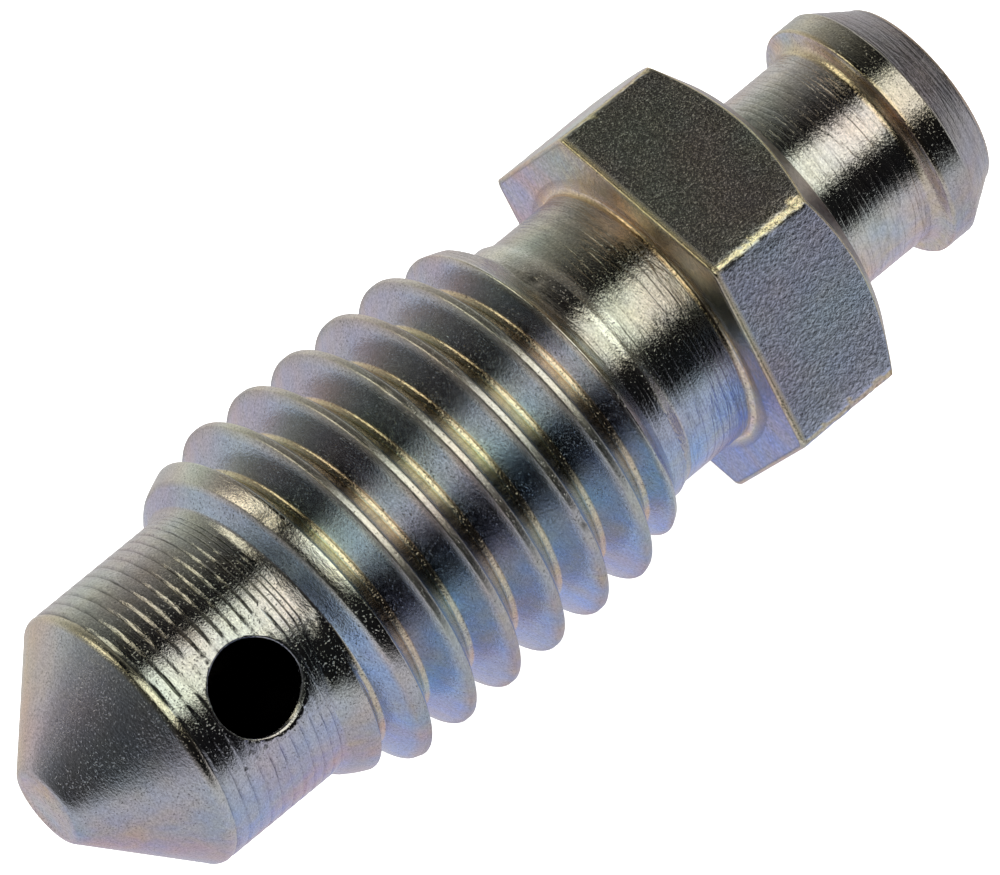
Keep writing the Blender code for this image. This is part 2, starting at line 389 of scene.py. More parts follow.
def pilot(skin):
    """The ribbed pilot, open where the cross hole's own ring of faces goes."""
    stations = np.append(ribbed_stations(RIB_ROWS, PILOT_START, PILOT_END - 0.02), PILOT_END)
    rows = len(stations)
    regular = stations[:, None] + 0.0 * TURNS[None, :]
    # The last rows keep still, because the run-in's first ring is joined to them
    moving = regular < PILOT_END - 0.05
    drift = GROOVE_WANDER * uneven(regular, TURNS[None, :], WANDER_SEED) * moving
    wandering = regular + drift
    radii = rib_radius(regular, uneven(regular, TURNS[None, :], DEPTH_SEED))
    numbers = skin.add(wandering, radii, TURNS[None, :], "pilot")
    skin.join(skin.last, numbers[0])
    low = int(np.argmax(stations > WINDOW_START)) - 1
    left = int(np.argmax(TURNS > CROSS_HOLE_TURN - WINDOW_REACH)) - 1
    right = int(np.argmax(TURNS > CROSS_HOLE_TURN + WINDOW_REACH))
    skip = np.zeros((rows - 1, COLUMNS), bool)
    skip[low:, left:right] = True
    skin.grid(np.hstack([numbers, numbers[:, :1]]), skip)
    skin.last = numbers[-1]
    border = window_border(numbers, low, rows - 1, left, right)
    places = window_border(
        np.stack(np.broadcast_arrays(wandering, TURNS[None, :]), axis=-1), low, rows - 1, left, right
    )
    return border, places


def window_border(grid, low, high, left, right):
    """The points round a window of a grid, in order from its first corner."""
    return np.concatenate([
        grid[low, left:right],
        grid[low:high, right],
        grid[high, right:left:-1],
        grid[high:low:-1, left],
    ])


def on_hole(angle, radius, height):
    """Station, radius and turn of points round the cross hole, at a height along the hole's own axis."""
    across = radius * np.sin(angle)
    station = CROSS_HOLE_STATION + radius * np.cos(angle)
    return station, np.hypot(height, across), CROSS_HOLE_TURN + np.arctan2(across, height)


def cross_hole(skin, border, places):
    """Rings of faces from the window in the pilot over the hole's edge and down its wall."""
    across = PILOT_RADIUS * np.sin(places[:, 1] - CROSS_HOLE_TURN)
    along = places[:, 0] - CROSS_HOLE_STATION
    angle = np.unwrap(np.arctan2(across, along))
    ragged = np.array([noise.noise(Vector((2.6 * math.cos(a), 2.6 * math.sin(a), 5.0))) for a in angle])
    deburring = HOLE_DEBURRING * np.clip(np.cos(angle - DEBURRED_SIDE), 0.0, 1.0) ** 2
    edge = CROSS_HOLE_EDGE + deburring + HOLE_RAGGEDNESS * ragged
    edge_along = (CROSS_HOLE_RADIUS + edge) * np.cos(angle)
    edge_across = (CROSS_HOLE_RADIUS + edge) * np.sin(angle)
    last = border
    for share in np.linspace(0.0, 1.0, WINDOW_RINGS + 1)[1:]:
        station = CROSS_HOLE_STATION + along + (edge_along - along) * share
        offset = across + (edge_across - across) * share
        turn = CROSS_HOLE_TURN + np.arcsin(offset / PILOT_RADIUS)
        drift = GROOVE_WANDER * uneven(station, turn, WANDER_SEED)
        groove = PILOT_RADIUS - rib_radius(station - drift, uneven(station, turn, DEPTH_SEED))
        fading = 1.0 - WINDOW_GROOVE_FADE * share
        ring = skin.add(station, PILOT_RADIUS - groove * fading, turn, "pilot")
        skin.join(last, ring)
        last = ring
    for step in range(1, HOLE_EDGE_RINGS + 1):
        bend = math.pi / 2 * step / HOLE_EDGE_RINGS
        ripple = HOLE_RIPPLE if step % 2 and step < HOLE_EDGE_RINGS else 0.0
        radius = CROSS_HOLE_RADIUS + edge * (1.0 - math.sin(bend) + ripple)
        top = np.sqrt(PILOT_RADIUS**2 - (radius * np.sin(angle)) ** 2) - RIB_CROWN
        ring = skin.add(*on_hole(angle, radius, top - edge * (1.0 - math.cos(bend))), "hole_edge")
        skin.join(last, ring)
        last = ring
    top = np.sqrt(PILOT_RADIUS**2 - (CROSS_HOLE_RADIUS * np.sin(angle)) ** 2) - edge - RIB_CROWN
    bottom = np.sqrt(BORE_RADIUS**2 - (CROSS_HOLE_RADIUS * np.sin(angle)) ** 2)
    for row in range(1, HOLE_WALL_ROWS + 1):
        share = row / HOLE_WALL_ROWS
        relief = HOLE_WALL_RELIEF * (row % 2) if row < HOLE_WALL_ROWS else 0.0
        height = top + (bottom - top) * share
        ring = skin.add(*on_hole(angle, CROSS_HOLE_RADIUS + relief, height), "hole")
        skin.join(last, ring)
        last = ring
    return last, angle


def bore(skin, mouth_ring, hole_ring, hole_angle):
    """The bore from its mouth to the drill's point, with the cross hole's opening in its wall."""
    turns = math.tau * np.arange(BORE_COLUMNS) / BORE_COLUMNS
    window_rows = len(hole_ring) // 2 - BORE_WINDOW_COLUMNS
    window_stations = np.linspace(BORE_WINDOW[0], BORE_WINDOW[1], window_rows + 1)
    mouth = [TOTAL_LENGTH - BORE_MOUTH_CHAMFER]
    stations = np.concatenate([[BORE_END], window_stations, BORE_RINGS, mouth])
    numbers = skin.add(stations[:, None], BORE_RADIUS, turns[None, :], "bore")
    middle = int(round(CROSS_HOLE_TURN / math.tau * BORE_COLUMNS))
    left = middle - BORE_WINDOW_COLUMNS // 2
    right = left + BORE_WINDOW_COLUMNS
    low, high = 1, 1 + window_rows
    skip = np.zeros((len(stations) - 1, BORE_COLUMNS), bool)
    skip[low:high, left:right] = True
    skin.grid(np.hstack([numbers, numbers[:, :1]]), skip)
    border = window_border(numbers, low, high, left, right)
    places = window_border(
        np.stack(np.broadcast_arrays(stations[:, None], turns[None, :]), axis=-1), low, high, left, right
    )
    rim_height = np.sqrt(BORE_RADIUS**2 - (CROSS_HOLE_RADIUS * np.sin(hole_angle)) ** 2)
    rim_station, _, rim_turn = on_hole(hole_angle, CROSS_HOLE_RADIUS, rim_height)
    last = border
    for share in np.linspace(0.0, 1.0, 9)[1:-1]:
        station = places[:, 0] + (rim_station - places[:, 0]) * share
        turn = places[:, 1] + (rim_turn - places[:, 1]) * share
        ring = skin.add(station, BORE_RADIUS, turn, "bore")
        skin.join(last, ring)
        last = ring
    skin.join(last, hole_ring)
    point = skin.add(BORE_END - BORE_RADIUS / math.tan(DRILL_POINT_ANGLE / 2), 0.0, 0.0, "bore")[()]
    skin.fan(point, numbers[0])
    skin.zip(np.append(mouth_ring, mouth_ring[0]), np.append(numbers[-1], numbers[-1][0]))


def run_in_share():
    """How far the ribs run on at each column: fully where the first ridge is yet to start."""
    turns = (0.0, 50.0, 122.0, 156.0, 285.0, 360.0)
    shares = (0.46, 0.84, 1.0, 0.03, 0.03, 0.46)
    return np.interp(np.degrees(TURNS), turns, shares)


def run_in(skin):
    """The pilot's last ribs, squeezed where the thread's first ridge takes their room."""
    share = run_in_share()
    ribs = ribbed_stations(RUN_IN_ROWS, PILOT_END + 0.02, RUN_IN_END - 0.03)
    for station in np.append(ribs, RUN_IN_END):
        depth = (PILOT_RADIUS - rib_radius(station, uneven(station, TURNS, DEPTH_SEED))) * share
        skin.ring(PILOT_END + (station - PILOT_END) * share, PILOT_RADIUS - depth, "pilot")


def started(crest):
    """From 0 to 1 as the first ridge grows out of the pilot, by the station of its crest."""
    return np.clip((crest - FIRST_RIDGE[0]) / (FIRST_RIDGE[1] - FIRST_RIDGE[0]), 0.0, 1.0) ** 0.7


def crest_limit(station, crest):
    """The largest radius of a ridge: it rises, stays full, fades, and ends part way round."""
    rising = np.clip((station - THREAD_START) / THREAD_LEAD_IN, 0.0, 1.0)
    fading = np.clip((THREAD_END - station) / THREAD_RUN_OUT, 0.0, 1.0)
    going = np.clip((LAST_RIDGE[1] - crest) / (LAST_RIDGE[1] - LAST_RIDGE[0]), 0.0, 1.0)
    fullness = np.minimum(rising, fading) ** THREAD_SWELL_POWER * started(crest) * going
    steep = np.clip((crest - LAST_BACK) / LAST_BACK_GROWTH, 0.0, 1.0)
    behind = steep * np.maximum(station - crest - BACK_START, 0.0)
    return HIDDEN_RADIUS + (THREAD_RADIUS - HIDDEN_RADIUS) * fullness - BACK_SLOPE * behind


def core_radius(station, crest):
    """The thread's root, with a small step down to the pilot and to the shank."""
    threaded = np.interp(
        station,
        (THREAD_START, THREAD_START + ROOT_STEP, THREAD_END - ROOT_STEP, THREAD_END),
        (PILOT_RADIUS - GROOVE_DEPTH, ROOT_RADIUS, ROOT_RADIUS, SHANK_RADIUS),
    )
    plain = np.interp(station, RUN_IN_STEP, (PILOT_RADIUS, ROOT_RADIUS))
    return plain + (threaded - plain) * np.clip(3.0 * started(crest), 0.0, 1.0)


def ridge_radius(offset, station):
    """The thread's surface at an offset along the axis from the middle of its crest."""
    valley = THREAD_PITCH / 2 - np.abs(offset)
    flank = THREAD_RADIUS - (np.abs(offset) - HALF_CREST) * FLANK_SLOPE
    root = ROOT_RADIUS + ROOT_ARC - np.sqrt(np.maximum(ROOT_ARC**2 - valley**2, 0.0))
    ridge = np.where(valley < ROOT_REACH, root, flank)
    ridge = soft_min(ridge, crest_limit(station, station - offset), CREST_ROUNDING)
    return soft_max(ridge, core_radius(station, station - offset), ROOT_ROUNDING)


def half_top(crest, side):
    """Half the width of the ridge's top on one side, wider where the crest limit cuts the ridge low."""
    half = np.full_like(crest, HALF_CREST)
    for _ in range(16):
        wanted = HALF_CREST + (THREAD_RADIUS - crest_limit(crest + side * half, crest)) / FLANK_SLOPE
        half = np.clip((half + wanted) / 2, HALF_CREST, WIDEST_HALF_TOP)
    return half


def ridge_rows(crest):
    """Offsets of one pitch's rows from the crest's middle, for an array of crest stations."""
    halves = {side: half_top(crest, side) for side in (-1, 1)}
    root = THREAD_PITCH / 2 - ROOT_REACH
    rows = [np.full_like(crest, -THREAD_PITCH / 2)]
    for side in (-1, 1):
        half = halves[side]
        foot = half + 0.016
        wing = [half * 0.0 + root + (THREAD_PITCH / 2 - root) * share for share in (0.60, 0.26, 0.0)]
        wing += [foot + (root - foot) * share for share in (0.75, 0.5, 0.25)]
        wing += [foot, half + 0.004, half - 0.010, half - 0.028, (half - 0.028) / 2]
        if side < 0:
            rows += [-row for row in wing]
            rows.append(np.zeros_like(crest))
        else:
            rows += reversed(wing)
    even = np.linspace(-THREAD_PITCH / 2, THREAD_PITCH / 2, len(rows), endpoint=False)[:, None, None]
    ridged = np.clip(4.0 * started(crest), 0.0, 1.0)
    return even + (np.array(rows) - even) * ridged


def thread(skin):
    """The thread's rows climb with it. At both ends its columns are closed against a plain ring."""
    turns = np.append(TURNS, math.tau)
    windings = np.arange(-1, THREAD_TURNS + 1)[:, None] + turns[None, :] / math.tau
    crests = FIRST_CREST + THREAD_PITCH * windings
    offsets = ridge_rows(crests)
    rows_per_pitch = offsets.shape[0]
    stations = np.swapaxes(crests[None] + offsets, 0, 1).reshape(-1, len(turns))
    offsets = np.swapaxes(offsets, 0, 1).reshape(-1, len(turns))
    radii = ridge_radius(offsets, stations)
    share = np.append(run_in_share(), run_in_share()[0])
    run_in_end = PILOT_END + (RUN_IN_END - PILOT_END) * share
    risen = np.clip((stations - run_in_end) / (RUN_IN_RISE * share), 0.0, 1.0)
    radii = PILOT_RADIUS + (radii - PILOT_RADIUS) * risen
    inside = (stations > run_in_end + THREAD_MARGIN) & (stations < SHANK_ZIP - THREAD_MARGIN)
    numbers = np.full(stations.shape, -1)
    kept = inside[:, :-1]
    kept_turns = np.broadcast_to(TURNS[None, :], kept.shape)[kept]
    points = skin.add(stations[:, :-1][kept], radii[:, :-1][kept], kept_turns, "thread")
    numbers[:, :-1][kept] = points
    numbers[:-rows_per_pitch, -1] = numbers[rows_per_pitch:, 0]
    corners = cells_of(numbers)
    whole = (corners >= 0).all(axis=-1)
    skin.quads.append(corners[whole])
    end_ring = skin.add(SHANK_ZIP, SHANK_RADIUS, TURNS, "shank")
    for column in range(COLUMNS):
        here = np.flatnonzero(numbers[:, column] >= 0)
        there = np.flatnonzero(numbers[:, column + 1] >= 0)
        after = (column + 1) % COLUMNS
        close_column(skin, numbers, column, here[0], there[0], (skin.last[column], skin.last[after]))
        close_column(skin, numbers, column, here[-1], there[-1], (end_ring[column], end_ring[after]))
    skin.last = end_ring


def close_column(skin, numbers, column, here, there, ring):
    """Faces between a ring's edge and the ends of two neighbouring columns of the thread."""
    if here == there:
        corners = [ring[0], ring[1], numbers[there, column + 1], numbers[here, column]]
        skin.quads.append(np.array([corners]))
        return
    step = 1 if there > here else -1
    # The column that reaches further past the other gives the extra corners
    if numbers[here, column + 1] >= 0:
        path = [numbers[row, column + 1] for row in range(there, here - step, -step)]
        chain = path + [numbers[here, column]]
        pivot = ring[0]
    else:
        path = [numbers[row, column] for row in range(here, there + step, step)]
        chain = path + [numbers[there, column + 1]]
        pivot = ring[1]
    skin.triangles.append(np.array([[ring[0], ring[1], chain[0]]]))
    for a, b in zip(chain, chain[1:]):
        skin.triangles.append(np.array([[pivot, a, b]]))


def turned_rows(skin, start, end, radius, rows, depth, seed, zone):
    """A turned stretch with fine uneven tool lines."""
    for row in range(1, rows + 1):
        station = start + (end - start) * row / rows
        line = noise.noise(Vector((station * 9.3, seed, 0.0)))
        line += 0.6 * noise.noise(Vector((station * 23.0, seed, 4.0)))
        drift = wander(1.2, depth * 0.6, seed + station * 2.2)
        skin.ring(station, radius + depth * (line - 0.4) + drift, zone)


def hex_radius():
    """The hexagon's radius at each column. A wrench has worn one side of each corner."""
    from_corner = np.mod(TURNS + math.pi / 6, math.pi / 3) - math.pi / 6
    flat = HEX_FLAT / np.cos(math.pi / 6 - np.abs(from_corner))
    corner = HEX_FLAT / math.cos(math.pi / 6)
    worn = (corner * math.cos(HEX_WEAR_TURN) - HEX_WEAR_DEPTH) / np.cos(from_corner + HEX_WEAR_TURN)
    return soft_min(flat, worn, HEX_WEAR_ROUNDING)


def hexagon(skin):
    """The wrench hexagon, from its fillet on the shank over its flats and chamfer to its end face."""
    edge = hex_radius()
    inner = SHANK_RADIUS + SHANK_FILLET
    for station, radius in arc((HEX_START - SHANK_FILLET, inner), SHANK_FILLET, -90.0, 0.0, 5):
        skin.ring(station, radius, "fillet")
    for share in (0.25, 0.5, 0.75, 0.95):
        skin.ring(HEX_START, inner + (edge - HEX_EDGE - inner) * share, "underside")
    for bend in np.radians((0.0, 30.0, 60.0, 90.0)):
        station = HEX_START + HEX_EDGE * (1 - math.cos(bend))
        skin.ring(station, edge - HEX_EDGE * (1 - math.sin(bend)), "hex_edge")
    chamfer_start = HEX_END - (edge - HEX_END_RADIUS) / CHAMFER_RISE
    first = HEX_START + HEX_EDGE
    last = chamfer_start - 0.04
    for row in range(1, HEX_ROWS + 1):
        skin.ring(first + (last - first) * row / HEX_ROWS, edge, "hex")
    skin.ring(chamfer_start - 0.01, edge - 0.008, "hex_edge")
    skin.ring(chamfer_start + 0.025, edge - 0.045, "hex_edge")
    for share in (0.08, 0.25, 0.5, 0.75, 0.92):
        station = chamfer_start + (HEX_END - 0.03 - chamfer_start) * share + 0.03 * (1 - share)
        skin.ring(station, HEX_END_RADIUS + (HEX_END - station) * CHAMFER_RISE, "chamfer")
    skin.ring(HEX_END - 0.008, HEX_END_RADIUS - 0.03, "hex_edge")
    inner = NECK_RADIUS + NECK_HEX_FILLET
    for share in (0.0, 0.3, 0.6, 1.0):
        skin.ring(HEX_END, HEX_END_RADIUS - 0.08 + (inner - HEX_END_RADIUS + 0.08) * share, "end_face")


def neck_and_barb(skin):
    """The neck, the hose barb's shoulder, land and taper, and the end face."""
    centre = (HEX_END + NECK_HEX_FILLET, NECK_RADIUS + NECK_HEX_FILLET)
    fillet = arc(centre, NECK_HEX_FILLET, 180.0, 270.0, 4)
    for station, radius in fillet[1:]:
        skin.ring(station, radius, "fillet")
    neck_end = BARB_START - NECK_BARB_FILLET
    neck_start = HEX_END + NECK_HEX_FILLET
    turned_rows(skin, neck_start, neck_end, NECK_RADIUS, rows=36, depth=0.010, seed=3.0, zone="neck")
    centre = (neck_end, NECK_RADIUS + NECK_BARB_FILLET)
    for station, radius in arc(centre, NECK_BARB_FILLET, -90.0, 0.0, 5)[1:]:
        skin.ring(station, radius, "barb_fillet")
    skin.ring(BARB_START, BARB_RADIUS - BARB_EDGE, "shoulder")
    for bend in np.radians((30.0, 60.0, 90.0)):
        station = BARB_START + BARB_EDGE * (1 - math.cos(bend))
        skin.ring(station, BARB_RADIUS - BARB_EDGE * (1 - math.sin(bend)), "rim")
    land_start = BARB_START + BARB_EDGE
    turned_rows(skin, land_start, BARB_LAND_END, BARB_RADIUS, rows=8, depth=0.006, seed=11.0, zone="land")
    taper_end = TOTAL_LENGTH - BARB_END_EDGE
    slope = (BARB_RADIUS - BARB_END_RADIUS) / (TOTAL_LENGTH - BARB_LAND_END)
    for station in np.linspace(BARB_LAND_END, taper_end, 15)[1:]:
        line = 0.010 * noise.noise(Vector((station * 8.0, 2.0, 6.0)))
        skin.ring(station, BARB_RADIUS - slope * (station - BARB_LAND_END) + line, "taper")
    end_radius = BARB_RADIUS - slope * (taper_end - BARB_LAND_END)
    for bend in np.radians((30.0, 60.0, 90.0)):
        radius = end_radius - BARB_END_EDGE * (1 - math.cos(bend))
        skin.ring(taper_end + BARB_END_EDGE * math.sin(bend), radius, "end_edge")
    for radius in (2.2, 1.8, BORE_MOUTH):
        skin.ring(TOTAL_LENGTH, radius, "end_face")


# The plating's tints: on the camera's side and below, on top, and on the far side. They are partly the
# plating's own iridescent hue and partly painted light and shade: each facing is made lighter or darker,
# warmer or bluer, as the lamps and the studio's lower half light it.
TINTS_AND_PAINTED_LIGHT = {
    "tip": ((0.66, 0.56, 0.60), (0.60, 0.54, 0.52), (0.70, 0.60, 0.62)),
    "cone": ((0.50, 0.49, 0.54), (0.62, 0.67, 0.74), (0.80, 0.62, 0.38)),
    "lip": ((0.56, 0.54, 0.60), (0.80, 0.74, 0.56), (0.70, 0.60, 0.52)),
    "pilot": ((0.49, 0.51, 0.66), (0.70, 0.70, 0.63), (0.60, 0.53, 0.55)),
    "tip_flank": ((0.37, 0.49, 0.75), (0.60, 0.72, 0.67), (0.66, 0.52, 0.62)),
    "barb_flank": ((0.64, 0.62, 0.60), (0.56, 0.44, 0.36), (0.70, 0.60, 0.50)),
    "root": ((0.62, 0.57, 0.48), (0.93, 0.81, 0.54), (0.66, 0.56, 0.44)),
    "crest": ((0.47, 0.48, 0.53), (0.88, 0.86, 0.74), (0.40, 0.38, 0.40)),
    "shank": ((0.42, 0.53, 0.76), (0.66, 0.64, 0.54), (0.56, 0.48, 0.50)),
    "fillet": ((0.74, 0.66, 0.58), (0.86, 0.70, 0.40), (0.70, 0.60, 0.52)),
    "underside": ((0.38, 0.43, 0.74), (0.60, 0.53, 0.44), (0.62, 0.56, 0.68)),
    "hex_edge": ((0.60, 0.54, 0.46), (0.92, 0.84, 0.54), (0.70, 0.56, 0.48)),
    "hex": ((0.50, 0.57, 0.84), (0.62, 0.61, 0.53), (0.95, 0.92, 0.90)),
    "chamfer": ((0.50, 0.47, 0.48), (0.36, 0.34, 0.31), (0.90, 0.78, 0.70)),
    "end_face": ((0.56, 0.52, 0.56), (0.56, 0.52, 0.50), (0.60, 0.54, 0.52)),
    "neck": ((0.66, 0.60, 0.62), (0.74, 0.73, 0.66), (0.66, 0.56, 0.50)),
    "barb_fillet": ((0.66, 0.58, 0.52), (0.92, 0.80, 0.52), (0.66, 0.56, 0.46)),
    "rim": ((0.58, 0.54, 0.50), (0.84, 0.74, 0.50), (0.60, 0.50, 0.42)),
    "land": ((0.48, 0.48, 0.52), (0.68, 0.66, 0.54), (0.34, 0.29, 0.27)),
    "taper": ((0.49, 0.48, 0.52), (0.36, 0.34, 0.34), (0.42, 0.37, 0.37)),
    "end_edge": ((0.60, 0.50, 0.44), (0.66, 0.54, 0.40), (0.60, 0.48, 0.40)),
}
TINTS_AND_PAINTED_LIGHT["shoulder"] = TINTS_AND_PAINTED_LIGHT["neck"]
TINTS_AND_PAINTED_LIGHT["hole_edge"] = TINTS_AND_PAINTED_LIGHT["pilot"]
# How strongly the turning tool's lines show
SCORED = {"pilot": 0.4, "shank": 1.0, "neck": 1.1, "land": 0.6, "taper": 1.0}
# How far a look reaches, in millimetres
ROOT_LOOK = 0.10
CREST_LOOK = 0.03
CREST_LOOK_DEPTH = 0.07
FULL_CREST_DEPTH = 0.08
LAST_BACK_LOOK = 0.20
PLAIN_ROOT_END = 7.5
WORN_CORNER_DEPTH = 0.022
# Painted shade: near black deep in the cross hole and the bore, lighter towards the hole's mouth
HOLE_PAINTED_SHADE = (0.02, 0.018, 0.016)
HOLE_MOUTH = (0.50, 0.46, 0.38)


def look_zones(stations, radii, turns, zones):
    """The zones, with the thread's own split into flanks, root and crest."""
    past_crest = stations - FIRST_CREST - THREAD_PITCH * turns / math.tau
    offset = np.mod(past_crest + 0.5 * THREAD_PITCH, THREAD_PITCH) - 0.5 * THREAD_PITCH
    looks = zones.astype("U12")
    on_thread = zones == "thread"
    looks[on_thread & (offset < 0.0)] = "tip_flank"
    looks[on_thread & (offset > 0.0)] = "barb_flank"
    looks[on_thread & (np.abs(offset) > THREAD_PITCH / 2 - ROOT_LOOK)] = "root"
    crest = stations - offset
    topped = radii > crest_limit(stations, crest) - CREST_LOOK_DEPTH
    looks[on_thread & ((np.abs(offset) < HALF_CREST + CREST_LOOK) | topped)] = "crest"
    looks[on_thread & (crest < FIRST_RIDGE[0] + 0.02)] = "pilot"
    # The last ridge's back was turned together with the shank
    looks[on_thread & (crest > LAST_BACK) & (offset > HALF_CREST - LAST_BACK_LOOK)] = "shank"
    looks[(looks == "root") & (stations < PLAIN_ROOT_END)] = "pilot"
    from_corner = np.abs(np.mod(turns + math.pi / 6, math.pi / 3) - math.pi / 6)
    worn_off = HEX_FLAT / np.cos(math.pi / 6 - from_corner) - radii
    looks[(zones == "hex") & (worn_off > WORN_CORNER_DEPTH)] = "hex_edge"
    return looks


def plating_and_painted_light_colour(looks, radii, turns, places, normals):
    """The plating's colour at each point, with painted light and shade. Its tint and brightness depend on
    which way the surface faces, and the pilot's grooves, the cross hole and the bore are painted darker.
    """
    faced = np.isin(looks, ("underside", "end_face", "tip"))
    facing = np.where(faced[:, None], np.stack([np.cos(turns), np.sin(turns)], axis=-1), normals[:, 1:])
    up = np.clip(facing[:, 1] * 1.15 + 0.1, 0.0, 1.0)[:, None]
    far = np.clip(facing[:, 0] * 1.4 + 0.1, 0.0, 1.0)[:, None]
    colour = np.empty(places.shape)
    for look in np.unique(looks):
        here = looks == look
        near_tint, top_tint, far_tint = (np.array(tint) for tint in TINTS_AND_PAINTED_LIGHT.get(look, (HOLE_PAINTED_SHADE,) * 3))
        side = near_tint + (far_tint - near_tint) * far[here]
        colour[here] = side + (top_tint - side) * up[here] ** 2
    # Painted shade: the pilot's grooves are darkened by their depth, most of all on the surfaces facing
    # up
    groove_shaded = looks == "pilot"
    groove = np.clip((PILOT_RADIUS - RIB_CROWN - radii[groove_shaded]) / GROOVE_DEPTH, 0.0, 1.0)[:, None]
    colour[groove_shaded] *= 1.0 - groove * (0.10 + 0.40 * up[groove_shaded] ** 2)
    # Painted shade: the hole's wall darkens from the mouth colour towards near black with depth
    wall = looks == "hole"
    depth = np.clip(PILOT_RADIUS - radii[wall], 0.0, None)[:, None]
    colour[wall] = np.array(HOLE_PAINTED_SHADE) + (np.array(HOLE_MOUTH) - HOLE_PAINTED_SHADE) * np.exp(-depth / 0.30)
    return np.clip(colour * mottling(places, normals), 0.0, 0.95)


def mottling(places, normals):
    """Patches of warmer and cooler plating, faint on the surfaces that face up."""
    spots = [Vector(place) for place in places]
    drift = np.array([noise.noise(spot * 0.55) for spot in spots])
    patch = np.array([noise.noise(spot * 1.5 + Vector((9.0, 3.0, 1.0))) for spot in spots])
    fleck = np.array([noise.noise(spot * 4.5 + Vector((2.0, 7.0, 5.0))) for spot in spots])
    low = np.clip(0.6 - normals[:, 2], 0.14, 0.62)
    warmth = (0.26 * drift + 0.36 * patch + 0.16 * fleck) * low
    greenness = 0.12 * fleck * low - 0.10 * drift
    return np.stack([1.0 + warmth, 1.0 + greenness, 1.0 - 1.1 * warmth], axis=-1)


def nick_depth(stations, radii, turns):
    """How deep the small dents are at each point."""
    depth = np.zeros_like(radii)
    for station, turn, width, deepest in NICKS:
        reach = np.hypot(stations - station, radii * (turns - math.radians(turn))) / width
        depth += deepest * np.exp(-reach * reach)
    return depth


def edge_wear(radii, turns, zones, places):
    """The hexagon's corners are a little uneven along their length."""
    from_corner = np.abs(np.mod(turns + math.pi / 6, math.pi / 3) - math.pi / 6)
    near = np.clip(1.0 - from_corner / math.radians(5.0), 0.0, 1.0) * (zones == "hex")
    waves = np.zeros_like(radii)
    for point in np.flatnonzero(near > 0.0):
        place = Vector(places[point])
        waves[point] = noise.noise(place * 3.1) + 0.7 * noise.noise(place * 7.3)
    return radii - EDGE_WEAR_DEPTH * near * np.abs(waves)


def paint(mesh, name, values):
    """Keeps a number for each point of the mesh, for the material to read."""
    layer = mesh.attributes.new(name, "FLOAT", "POINT")
    layer.data.foreach_set("value", values.astype(np.float32))


def screw_piece():
    """The whole skin as one mesh object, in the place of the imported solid."""
    skin = Skin()
    tip_and_cone(skin)
    lip(skin)
    border, places = pilot(skin)
    run_in(skin)
    thread(skin)
    shank_end = HEX_START - SHANK_FILLET - 0.07
    turned_rows(skin, SHANK_ZIP, shank_end, SHANK_RADIUS, rows=24, depth=0.012, seed=7.0, zone="shank")
    hexagon(skin)
    neck_and_barb(skin)
    hole_ring, hole_angle = cross_hole(skin, border, places)
    bore(skin, skin.last, hole_ring, hole_angle)

    stations, radii, turns = (np.concatenate([part[k] for part in skin.parts]) for k in range(3))
    zones = np.concatenate([part[3] for part in skin.parts])
    quads = np.concatenate([q.reshape(-1, 4) for q in skin.quads])
    triangles = np.concatenate(skin.triangles)

    flat_places = np.stack([stations, radii * np.cos(turns), radii * np.sin(turns)], axis=-1)
    radii = edge_wear(radii, turns, zones, flat_places) - nick_depth(stations, radii, turns)
    low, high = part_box(NODE)
    axis_height = (low.z + high.z) / 2 / MM
    x = low.x / MM + stations
    y = radii * np.cos(turns)
    z = axis_height + radii * np.sin(turns)
    places = np.stack([x, y, z], axis=-1)

    used = np.zeros(skin.count, bool)
    used[quads.ravel()] = True
    used[triangles.ravel()] = True
    renumber = np.cumsum(used) - 1
    faces = renumber[quads].tolist() + renumber[triangles].tolist()
    mesh = bpy.data.meshes.new("plated_bleeder_screw")
    mesh.from_pydata((places[used] * MM).tolist(), [], faces)
    bm = bmesh.new()
    bm.from_mesh(mesh)
    bmesh.ops.recalc_face_normals(bm, faces=bm.faces)
    bm.to_mesh(mesh)
    bm.free()
    normals = np.empty(3 * len(mesh.vertices), np.float32)
    mesh.vertex_normals.foreach_get("vector", normals)
    looks = look_zones(stations[used], radii[used], turns[used], zones[used])
    colours = plating_and_painted_light_colour(looks, radii[used], turns[used], places[used], normals.reshape(-1, 3))
    # The per-point colour carries painted light and shade along with the plating's tints
    plating = mesh.attributes.new("plating", "FLOAT_COLOR", "POINT")
    plating.data.foreach_set("color", np.hstack([colours, np.ones((len(colours), 1))]).ravel())
    paint(mesh, "milled", np.isin(zones[used], ("hex", "underside", "chamfer")))
    full_crest = (looks == "crest") & (radii[used] > THREAD_RADIUS - FULL_CREST_DEPTH)
    paint(mesh, "rough", 1.0 * np.isin(looks, ("root", "chamfer")) + CREST_WEAR * full_crest)
    paint(mesh, "scored", np.array([SCORED.get(look, 0.0) for look in looks]))
    mesh.shade_smooth()
    mesh.set_sharp_from_angle(angle=SHARP_ANGLE)
    piece = bpy.data.objects.new("plated_bleeder_screw", mesh)
    bpy.context.scene.collection.objects.link(piece)
    mesh.materials.append(plated_steel())
    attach(piece, "root")
    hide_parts(NODE)
    return piece


def feed(tree, socket, value):
    """Gives a socket a number, a colour or another node's output."""
    if isinstance(value, bpy.types.NodeSocket):
        tree.links.new(value, socket)
    else:
        socket.default_value = value


def node(tree, kind, **inputs):
    """A shader node, with its inputs given by name."""
    made = tree.nodes.new(kind)
    for name, value in inputs.items():
        feed(tree, made.inputs[name], value)
    return made


def noise_texture(tree, place, scale, detail=0.0, roughness=0.5):
    """Noise from 0 to 1, so many points to the metre."""
    made = node(tree, "ShaderNodeTexNoise", Vector=place, Scale=scale, Detail=detail, Roughness=roughness)
    return made.outputs["Fac"]


